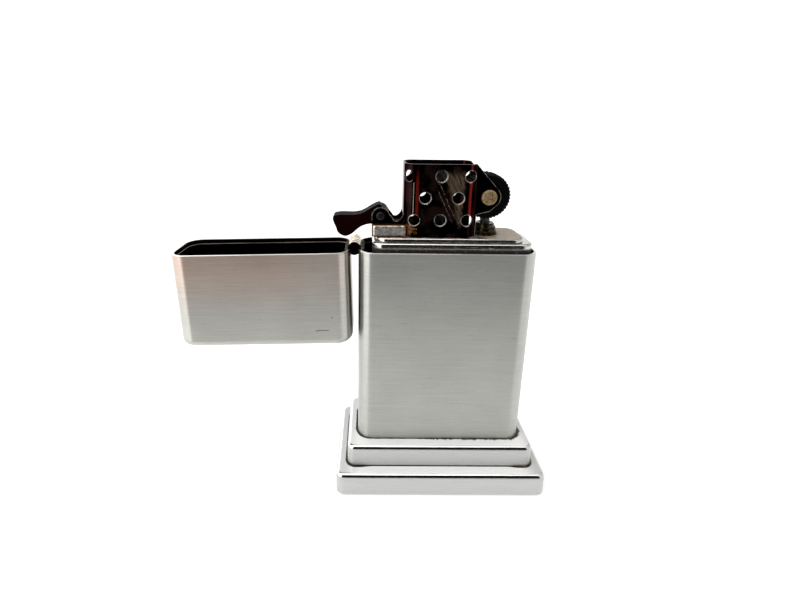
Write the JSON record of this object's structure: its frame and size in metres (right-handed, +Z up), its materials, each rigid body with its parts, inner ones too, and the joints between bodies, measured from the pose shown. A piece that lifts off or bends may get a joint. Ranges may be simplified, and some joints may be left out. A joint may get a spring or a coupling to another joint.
{
  "type": "table lighter",
  "caption": "Flip-top petrol table lighter on a stepped base, with a lift-out insert that carries a pierced chimney, a flint wheel and a cam lever for the lid.",
  "frame": {"origin": "centre of the flat felt face under the base, midway along and across the base", "axes": "+X towards the flint wheel, away from the lid's hinge; +Z up; the lid is drawn open, hanging over -X"},
  "size_m": [0.0882, 0.026, 0.0793],
  "materials": {
    "brushed_case": "fine horizontal brushing under satin chrome, on the case and the lid",
    "polished_base": "polished chrome plate, with grime in the crevices",
    "insert_steel": "bright drawn steel, worn at the edges",
    "chimney_steel": "dark, heat-stained bright steel",
    "hinge_brass": "worn plated brass",
    "brass": "dull brass",
    "wheel_steel": "blackened hard steel with cut teeth",
    "cam_steel": "browned steel, worn at the edges",
    "spring_steel": "drawn spring steel",
    "flint_alloy": "pressed ferrocerium",
    "felt": "pressed wool felt",
    "packing": "cotton wadding and braided wick",
    "weight_steel": "plain steel"
  },
  "bodies": {
    "root": {"base_shell": "polished_base", "base_weight": "weight_steel", "base_felt": "felt", "base_screws": "spring_steel", "case_shell": "brushed_case", "case_hinge_leaf": "hinge_brass", "hinge_pin": "hinge_brass"},
    "lid": {"lid_shell": "brushed_case", "lid_hinge_leaf": "hinge_brass"},
    "insert": {"insert_shell": "insert_steel", "insert_top_plate": "insert_steel", "chimney": "chimney_steel", "wick": "packing", "wadding": "packing", "insert_felt": "felt", "flint_tube": "brass", "flint_tube_collar": "brass", "cam_spring": "spring_steel", "cam_spring_rivet": "spring_steel", "cam_rivet": "spring_steel", "wheel_rivet": "brass"},
    "cam": {"cam": "cam_steel"},
    "wheel": {"flint_wheel": "wheel_steel"},
    "flint": {"flint": "flint_alloy"},
    "flint_screw": {"flint_screw": "brass", "flint_spring": "spring_steel"}
  },
  "joints": [
    {"name": "lid_hinge", "type": "hinge", "parent": "root", "child": "lid", "pos_m": [-0.02125, 0, 0.0598], "axis": [0, -1, 0], "range_deg": [-181.5, 0]},
    {"name": "cam_pivot", "type": "hinge", "parent": "insert", "child": "cam", "pos_m": [-0.0154, 0, 0.0674], "axis": [0, -1, 0], "range_deg": [-100.5, 0.5]},
    {"name": "wheel_spin", "type": "hinge", "parent": "insert", "child": "wheel", "pos_m": [0.0086, 0, 0.07195], "axis": [0, 1, 0], "continuous": true},
    {"name": "insert_lift", "type": "slide", "parent": "root", "child": "insert", "axis": [0, 0, 1], "range_m": [0, 0.055]},
    {"name": "flint_feed", "type": "slide", "parent": "insert", "child": "flint", "axis": [0, 0, -1], "range_m": [0, 0.0005], "stiffness_N_per_m": 20, "springref_m": -0.002, "deforming": ["flint_spring"]},
    {"name": "flint_screw_turn", "type": "hinge", "parent": "insert", "child": "flint_screw", "pos_m": [0.0089, 0, 0.0118], "axis": [0, 0, 1], "continuous": true}
  ],
  "couplings": [
    {"joint": "cam_pivot", "follows": "lid_hinge", "ratio": 0.55}
  ]
}
